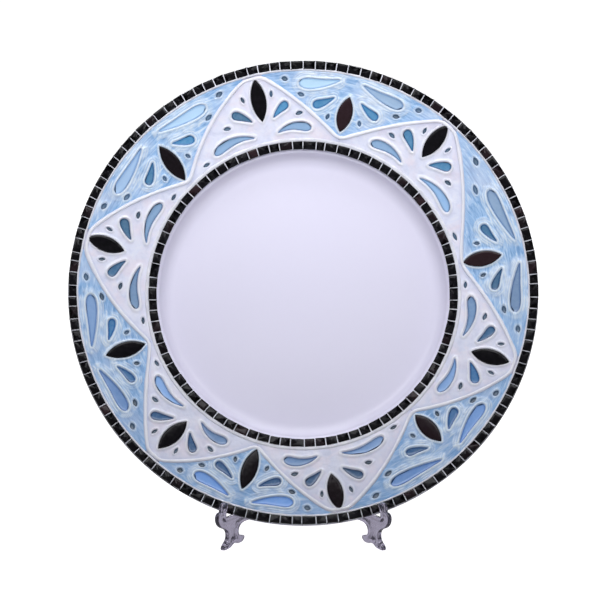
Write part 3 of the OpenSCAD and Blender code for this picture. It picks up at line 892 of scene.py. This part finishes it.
def ridges():
    """The raised zigzag line between the fields, laid by hand and so of uneven width."""
    path = []
    out = np.linspace(ZIG_LO, ZIG_HI, 31)
    for i in range(6):
        before, after = ridge_angle(out, i, 0), ridge_angle(out, i, 1)
        tip = np.linspace(before[-1], after[-1], 8)[1:-1]
        path += list(zip(out, before)) + [(ZIG_HI, a) for a in tip] + list(zip(out, after))[:0:-1]
    line = np.array([(r * math.sin(a), r * math.cos(a)) for r, a in path])
    for _ in range(3):
        line = line * 0.5 + (np.roll(line, 1, 0) + np.roll(line, -1, 0)) * 0.25
    tangent = np.roll(line, -1, 0) - np.roll(line, 1, 0)
    tangent /= np.linalg.norm(tangent, axis=1)[:, None]
    normal = np.stack([-tangent[:, 1], tangent[:, 0]], -1)
    x, y = line.T
    wide = 1.4 + 0.35 * grain(x, y, 12, 80) + 0.15 * grain(x, y, 4, 81)
    tall = 2.9 + 0.3 * grain(x, y, 9, 82)
    rings, bead = [], []
    for q in np.linspace(-1, 1, 11):
        xy = line + normal * (wide * q)[:, None]
        crown = (1 - abs(q) ** 2.3) ** 0.6
        rings.append(on_rim(xy[:, 0], xy[:, 1], RIDGE_SIDE_H + (tall - RIDGE_SIDE_H) * crown))
        bead.append(np.full(len(line), 1 - q * q))
    for q in (1, -1):
        xy = line + normal * (wide * q)[:, None]
        rings.append(on_rim(xy[:, 0], xy[:, 1], RIDGE_FOOT_H))
        bead.append(np.zeros(len(line)))
    verts, faces = ring_solid(np.array(rings))
    none = np.zeros(len(verts))
    piece("divider_line", "plate", ["divider_ridges"], verts, faces, WHITE_RELIEF,
          points={"bead": np.concatenate(bead), "recess_shade": none, "edge": none})


# ---- glass drops ----

# pigments at the top of the plate and at its bottom, darker towards the bottom
TEAL = (srgb(50, 134, 184), srgb(22, 92, 152))
PALE_BLUE = (srgb(158, 200, 244), srgb(134, 176, 234))
SKY_BLUE = (srgb(184, 218, 254), srgb(116, 164, 234))
DOT = (srgb(78, 108, 136), srgb(54, 76, 98))
DOT_SIZE = 6.2
BROAD_OUT_R = 134  # the broad drops of the blue fields lie outside this radius
BROAD_IN_R = 112.5  # the broad drops of the white fields lie inside this one
DROP_FOOT_H = 0.3


def pigment_of(loop, blue):
    """Colour of a drop by its size and its place."""
    x, y = loop.mean(0)
    r = math.hypot(x, y)
    if np.ptp(loop, axis=0).max() < DOT_SIZE:
        kind = DOT
    elif blue:
        kind = SKY_BLUE if r > BROAD_OUT_R else TEAL
    else:
        kind = PALE_BLUE if r < BROAD_IN_R else TEAL
    low = float(smooth(-0.9, 0.9, -y / r))
    return np.array(kind[0]) * (1 - low) + np.array(kind[1]) * low


def glass_drops(name, node, outlines, shader, blue, seed):
    """Pools of coloured glass enamel that climb a little at their rims."""
    solids = []
    for k, loop in enumerate(outlines):
        loop = rounded(loop)
        x, y, inside = across_outline(loop, 25, [0, 0.06, 0.16, 0.32, 0.5, 0.68, 0.84, 0.94, 1])
        h = 1.28 - 0.22 * smooth(0, 1.1, inside) + 0.05 * grain(x, y, 2.5, seed + k)
        verts, faces = slab(on_rim(x, y, h), on_rim(x, y, DROP_FOOT_H), 6, 8)
        # 0 at the drop's edge, fully in painted shade, to 1 well inside
        edge_shade_fade = np.r_[smooth(-0.1, 1.2, inside).ravel(), np.zeros(len(verts) - h.size)]
        tone = np.clip(pigment_of(loop, blue) * (1 + 0.16 * dice(k, seed)), 0, 1)
        solids.append((verts, faces, {"edge_shade_fade": edge_shade_fade, "pigment": np.r_[tone, 1]}))
    verts, faces, points = joined(solids)
    piece(name, "plate", [node], verts, faces, shader, points=points)


# ---- easel ----

fold = next(j for j in frame["joints"] if j["name"] == "stand_fold")
HINGE = np.array(fold["pos_m"], float) / MM
AXIS = np.array([HINGE[0], HINGE[1], 0])  # foot of the hinge's axis
UP = np.array([0.0, 0.0, 1.0])
BARREL_R = 3.6
SLAB_HALF = 1.5  # half of a leaf's thickness


def leaf_plane(node):
    """Outlines of a leaf in its own plane, the directions along and through it, and its near side."""
    verts, tri = cad_mesh(node)
    rel = verts - AXIS
    normal, area = normals_of(rel, tri)
    key = np.round(normal * 40).astype(int)
    _, which = np.unique(key, axis=0, return_inverse=True)
    which = which.reshape(-1)
    totals = np.bincount(which, area)
    for best in np.argsort(totals)[::-1][:2]:
        chosen = which == best
        n = (normal[chosen] * area[chosen][:, None]).sum(0)
        n /= np.linalg.norm(n)
        offset = rel[tri[chosen][:, 0]] @ n
        if abs(np.median(offset)) < 1:
            break
    face = tri[chosen][np.abs(offset - np.median(offset)) < 0.02]
    along = np.cross(UP, n)
    along *= -np.sign(along[1])
    loops = [np.stack([rel[loop] @ along, rel[loop][:, 2]], -1) for loop in boundary_loops(face)]
    loops.sort(key=lambda p: -np.ptp(p[:, 0]) * np.ptp(p[:, 1]))
    return loops, along, -n, abs(float(np.median(offset)))


def even(loop, gap, corner=35):
    """An outline with points about gap apart and its curves made smooth, its corners kept."""
    before, after = loop - np.roll(loop, 1, 0), np.roll(loop, -1, 0) - loop
    bend = np.arctan2(after[:, 1], after[:, 0]) - np.arctan2(before[:, 1], before[:, 0])
    turn = np.abs((np.degrees(bend) + 180) % 360 - 180)
    points, sharp = [], []
    for p, q, t in zip(loop, np.roll(loop, -1, 0), turn):
        n = max(1, round(float(np.linalg.norm(q - p)) / gap))
        for k in range(n):
            points.append(p + (q - p) * k / n)
            sharp.append(k == 0 and t > corner)
    points, sharp = np.array(points), np.array(sharp)
    for _ in range(5):
        soft = points * 0.5 + (np.roll(points, 1, 0) + np.roll(points, -1, 0)) * 0.25
        points = np.where(sharp[:, None], points, soft)
    return points


def thickness(d):
    """Half thickness of a leaf, d inside its outline: rounded edge, raised border, thinner middle."""
    edge = 0.65
    lip = SLAB_HALF - edge + np.sqrt(np.maximum(edge**2 - np.maximum(edge - d, 0) ** 2, 0))
    return lip - 0.4 * smooth(1.9, 2.7, d)


def knuckles(node):
    """Heights of the hinge barrels of a leaf."""
    verts, tri = cad_mesh(node)
    away = np.hypot(*(verts - AXIS)[:, :2].T)
    on = np.abs(away - BARREL_R) < 0.03
    spans = sorted((verts[t][:, 2].min(), verts[t][:, 2].max()) for t in tri if on[t].all())
    merged = []
    for lo, hi in spans:
        if merged and lo < merged[-1][1] + 0.05:
            merged[-1][1] = max(merged[-1][1], hi)
        else:
            merged.append([lo, hi])
    return merged


def hinge_solid(half, z0, z1, steps):
    """Solid about the hinge from radii and heights above z0, with its mirror image below z1."""
    shape = [(r, z0 + h) for r, h in half] + [(r, z1 - h) for r, h in half[::-1]]
    return ring_solid(turned(shape, steps) + AXIS)


def barrel(z0, z1, bore):
    """A hinge knuckle with softened ends."""
    soft = 0.4
    half = [(bore, 0.1), (BARREL_R - soft, 0), (BARREL_R - soft * 0.3, soft * 0.3), (BARREL_R, soft)]
    return hinge_solid(half, z0, z1, 48)


WEB_REACH = 4.0  # the leaf's outline nearer to the axis than this
WEB_IN = 2.6  # is drawn in to here, inside the barrels
SKIN_DEPTHS = (0.14, 0.36, 0.65, 1.85, 2.75)  # lines of points inside the outline
GRID = 4.0  # step of the inner points
LEAF_BOX = 130  # no leaf is longer or higher


def leaf_slab(node):
    """Vertices and faces of a leaf without its knuckles: two skins joined along the outlines."""
    loops, along, through, start = leaf_plane(node)
    for p in loops:
        p[p[:, 0] < WEB_REACH, 0] = WEB_IN
    loops = [even(p, 0.8) for p in loops]
    points = list(np.concatenate(loops))
    edges, first = [], 0
    for p in loops:
        edges += [(first + i, first + (i + 1) % len(p)) for i in range(len(p))]
        first += len(p)

    def depth(at):
        """Distance to the nearest outline, and whether a point is in the plastic."""
        d = np.min([np.abs(signed_distance(at, p)) for p in loops], axis=0)
        inside = signed_distance(at, loops[0]) < 0
        for hole in loops[1:]:
            inside &= signed_distance(at, hole) > 0
        return d, inside

    for offset in SKIN_DEPTHS:
        for p in loops:
            run = np.roll(p, -1, 0) - np.roll(p, 1, 0)
            run /= np.maximum(np.linalg.norm(run, axis=1), 1e-9)[:, None]
            for turn in (1, -1):
                at = p + np.stack([-run[:, 1], run[:, 0]], -1) * offset * turn
                d, inside = depth(at)
                points += list(at[inside & (d > offset * 0.96)])
    gx, gy = np.meshgrid(np.arange(0, LEAF_BOX, GRID), np.arange(0, LEAF_BOX, GRID))
    at = np.stack([gx.ravel() + 0.37, gy.ravel() + 0.51], -1)
    d, inside = depth(at)
    points += list(at[inside & (d > 3.4)])
    found = delaunay_2d_cdt([Vector(p) for p in points], edges, [], 0, 1e-4)
    plan = np.array([[v.x, v.y] for v in found[0]])
    tri = np.array([list(f) for f in found[2]])
    _, inside = depth(plan[tri].mean(1))
    tri = tri[inside]
    half = through * thickness(depth(plan)[0])[:, None]
    middle = AXIS + plan[:, :1] * along + plan[:, 1:] * UP + through * (start + SLAB_HALF)
    n = len(plan)
    faces = [list(t) for t in tri] + [[c + n, b + n, a + n] for a, b, c in tri]
    for loop in boundary_loops(tri):
        faces += [[b, a, a + n, b + n] for a, b in zip(loop, loop[1:] + loop[:1])]
    used = np.unique(np.concatenate([np.array(f) for f in faces]))
    renumber = np.full(2 * n, -1)
    renumber[used] = np.arange(len(used))
    verts = np.concatenate([middle + half, middle - half])[used]
    return verts, [[int(renumber[i]) for i in f] for f in faces]


def easel_leaf(name, node, body, bore):
    """One leaf of the easel: its slab, with the hinge barrels joined on."""
    obj = mesh_object(name, *leaf_slab(node))
    for k, (z0, z1) in enumerate(knuckles(node)):
        tool = mesh_object(f"{name}_knuckle_{k}", *barrel(z0, z1, bore))
        join = obj.modifiers.new("join", "BOOLEAN")
        join.operation = "UNION"
        join.solver = "EXACT"
        join.object = tool
        bpy.context.view_layer.update()
        made = bpy.data.meshes.new_from_object(obj.evaluated_get(bpy.context.evaluated_depsgraph_get()))
        obj.modifiers.clear()
        obj.data = made
        bpy.data.objects.remove(tool)
    obj.data.name = name
    obj.data.materials.clear()
    obj.data.materials.append(CLEAR_PLASTIC)
    obj.data.polygons.foreach_set("use_smooth", [True] * len(obj.data.polygons))
    obj.data.set_sharp_from_angle(angle=math.radians(40))
    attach(obj, body)
    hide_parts(node)


PIN_R = 1.5
HEAD_H = 1.2


def hinge_pin():
    """The pin, with a softened head at each end."""
    lo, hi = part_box("hinge_pin")
    head = (hi.x - lo.x) / 2 / MM
    half = [(0.01, 0), (head - 0.4, 0), (head - 0.1, 0.15), (head, 0.5), (head, HEAD_H), (PIN_R, HEAD_H)]
    verts, faces = hinge_solid(half, lo.z / MM, hi.z / MM, 40)
    piece("easel_pin", "stand_left", ["hinge_pin"], verts, faces, PIN_PLASTIC,
          matrix=Matrix.Identity(4))


# ---- everything ----

china_body()
tile_ring("outer_tile_ring", "outer_tiles", 11)
tile_ring("inner_tile_ring", "inner_tiles", 12)
grout_ring("outer_grout_ring", "outer_grout", OUTER_GROUT, 756, 21)
grout_ring("inner_grout_ring", "inner_grout", INNER_GROUT, 574, 25)
for number in range(1, 13):
    leaf_tile(number)
ridges()
for index in range(6):
    number = index + 1
    white_field(index)
    blue_field(index)
    glass_drops(f"teal_drops_{number}", f"white_drops_{number}", WHITE_DROPS[number],
                TEAL_GLASS, False, 100 + index * 11)
    glass_drops(f"sky_drops_{number}", f"blue_drops_{number}", BLUE_DROPS[number],
                BLUE_GLASS, True, 200 + index * 11)
easel_leaf("easel_left", "easel_leaf_left", "stand_left", 1.52)
easel_leaf("easel_right", "easel_leaf_right", "stand_right", 1.55)
hinge_pin()


# ---- camera, floor and light ----

ELEVATION = math.radians(10)
DISTANCE = 2300.0
PLATE_DEPTH = 30  # from the foot ring's sole to the face of the outer ring
AIM_LEFT = 2.1  # where the camera points, from the plate's middle
AIM_DOWN = 6.2
AIM = ORIGIN + FACE * PLATE_DEPTH - EX * AIM_LEFT
forward = np.array([0, math.cos(ELEVATION), -math.sin(ELEVATION)])
upward = np.array([0, math.sin(ELEVATION), math.cos(ELEVATION)])
eye = AIM - upward * AIM_DOWN - forward * DISTANCE

camera = add_object("camera", bpy.data.cameras.new("camera"))
camera.data.sensor_width = 36
camera.data.lens = 213.3
camera.data.clip_end = 50
camera.location = Vector(eye * MM)
camera.rotation_mode = "QUATERNION"
camera.rotation_quaternion = Vector(forward).to_track_quat("-Z", "Y")
bpy.context.scene.camera = camera

DAYLIGHT = (0.955, 0.965, 1.0)
AMBIENT = 0.09
FLOOR_GLOW = 0.07  # what the floor gives to the object
BACKDROP = 1.03  # what the camera sees of floor and world, just past white


def area_light(name, place, size, power, target, spread=math.pi):
    """A softbox. One with a grid, which narrows its spread, makes no reflections of its own."""
    data = bpy.data.lights.new(name, "AREA")
    data.shape = "RECTANGLE"
    data.size, data.size_y = size
    data.energy = power
    data.spread = spread
    data.color = DAYLIGHT
    lamp = add_object(name, data)
    lamp.visible_camera = False
    lamp.visible_glossy = spread == math.pi
    lamp.location = place
    lamp.rotation_mode = "QUATERNION"
    lamp.rotation_quaternion = (Vector(target) - Vector(place)).to_track_quat("-Z", "Y")


centre = Vector(ORIGIN * MM)
area_light("key", (0, -0.26, 0.5), (0.6, 0.15), 0.69, centre)
area_light("top", (0, -0.02, 0.95), (0.5, 0.2), 1.88, centre)
area_light("grid", (0, -1.0, 0.7), (0.25, 0.25), 0.455, Vector((0, 0, 0.3)), math.radians(44))
area_light("front", (0, -1.6, 0.5), (1.2, 0.8), 0.31, centre)
area_light("back", (0, 1.4, 0.9), (1.4, 1.0), 11, centre)

world = bpy.data.worlds.new("studio")
world.use_nodes = True
bpy.context.scene.world = world
tree = world.node_tree
rays = tree.nodes.new("ShaderNodeLightPath")
sky = tree.nodes.new("ShaderNodeMix")
sky.data_type = "RGBA"
sky.inputs[6].default_value = (*[c * AMBIENT for c in DAYLIGHT], 1)
sky.inputs[7].default_value = (BACKDROP, BACKDROP, BACKDROP, 1)
seen = tree.nodes.new("ShaderNodeMath")
seen.operation = "MAXIMUM"
tree.links.new(rays.outputs["Is Camera Ray"], seen.inputs[0])
tree.links.new(rays.outputs["Is Transmission Ray"], seen.inputs[1])
tree.links.new(seen.outputs[0], sky.inputs[0])
tree.links.new(sky.outputs[2], tree.nodes["Background"].inputs["Color"])

floor_shader = Shader("floor", Roughness=0.9, Specular_IOR_Level=0.1)
floor_shader.set(Emission_Color=(1, 1, 1))
floor_rays = floor_shader.node("LightPath").outputs
floor_seen = floor_shader.math("MAXIMUM", floor_rays["Is Camera Ray"], floor_rays["Is Transmission Ray"])
floor_shader.set(Emission_Strength=floor_shader.range(floor_seen, FLOOR_GLOW, BACKDROP))
floor_grain = floor_shader.noise(floor_shader.place(), 3, 2)
floor_shader.set(Base_Color=floor_shader.ramp(floor_grain, [(0.3, 0.4), (0.7, 0.42)]))
FLOOR_HALF = 8
floor_mesh = bpy.data.meshes.new("floor")
corners = [(-FLOOR_HALF, -FLOOR_HALF, 0), (FLOOR_HALF, -FLOOR_HALF, 0),
           (FLOOR_HALF, FLOOR_HALF, 0), (-FLOOR_HALF, FLOOR_HALF, 0)]
floor_mesh.from_pydata(corners, [], [(0, 1, 2, 3)])
floor_mesh.materials.append(floor_shader.mat)
floor = add_object("floor", floor_mesh)

bpy.context.scene.view_settings.view_transform = "Standard"
